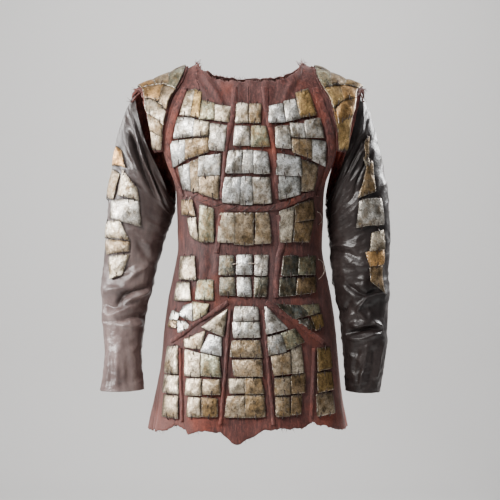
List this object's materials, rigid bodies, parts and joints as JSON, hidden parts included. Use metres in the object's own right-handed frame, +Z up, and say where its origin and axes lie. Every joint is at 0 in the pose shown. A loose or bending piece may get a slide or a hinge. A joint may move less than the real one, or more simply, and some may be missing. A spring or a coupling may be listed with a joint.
{
  "type": "lamellar armour tunic",
  "caption": "Hip-length pull-over armour tunic of rough hide with laced metal plates, plated shoulder caps and long dark leather sleeves, in its worn hollow form.",
  "frame": {"origin": "midway between the shoulders, at the height where they bear the garment", "axes": "+Z up, the front faces -Y, the wearer's left is +X"},
  "size_m": [0.5957, 0.2985, 0.7541],
  "materials": {
    "hide": "rough oxblood suede-side hide with upright streaks and raw edges",
    "rolled_hide": "rolled strips of the same hide, rubbed along the top",
    "sleeve_leather": "smooth dark brown leather with a soft shine on its folds",
    "pale_plate": "weathered pale silver plate with tan stains",
    "ochre_plate": "weathered plate with an ochre and tan patina",
    "grey_plate": "weathered greenish grey plate",
    "thong": "thin dark lacing thong"
  },
  "bodies": {
    "root": {"front_panel": "hide", "back_panel": "hide", "cap_right": "hide", "cap_left": "hide", "sleeve_right": "sleeve_leather", "sleeve_left": "sleeve_leather", "band_under_chest": "rolled_hide", "piping_right": "rolled_hide", "welt_upper_right": "rolled_hide", "welt_lower_right": "rolled_hide", "welt_hip_right": "rolled_hide", "welt_skirt_right": "rolled_hide", "welt_outer_right": "rolled_hide", "welt_back_right": "rolled_hide", "piping_left": "rolled_hide", "welt_upper_left": "rolled_hide", "welt_lower_left": "rolled_hide", "welt_hip_left": "rolled_hide", "welt_skirt_left": "rolled_hide", "welt_outer_left": "rolled_hide", "welt_back_left": "rolled_hide", "plates_breast_centre": "pale_plate", "plates_rib_centre": "pale_plate", "plates_waist_centre": "grey_plate", "plates_waist_left": "grey_plate", "plates_waist_right": "grey_plate", "plates_waist_side": "grey_plate", "plates_skirt_centre": "pale_plate", "plates_breast_right": "pale_plate", "plates_rib_right": "pale_plate", "plates_fan_right": "ochre_plate", "plates_hip_right": "ochre_plate", "plates_outer_right": "ochre_plate", "plates_breast_left": "pale_plate", "plates_rib_left": "pale_plate", "plates_fan_left": "ochre_plate", "plates_hip_left": "ochre_plate", "plates_outer_left": "ochre_plate", "plates_back_centre": "grey_plate", "plates_back_right": "grey_plate", "plates_back_left": "grey_plate", "plates_cap_right": "ochre_plate", "plates_cap_left": "ochre_plate", "plates_sleeve_right": "grey_plate", "plates_sleeve_left": "grey_plate"}
  },
  "joints": []
}
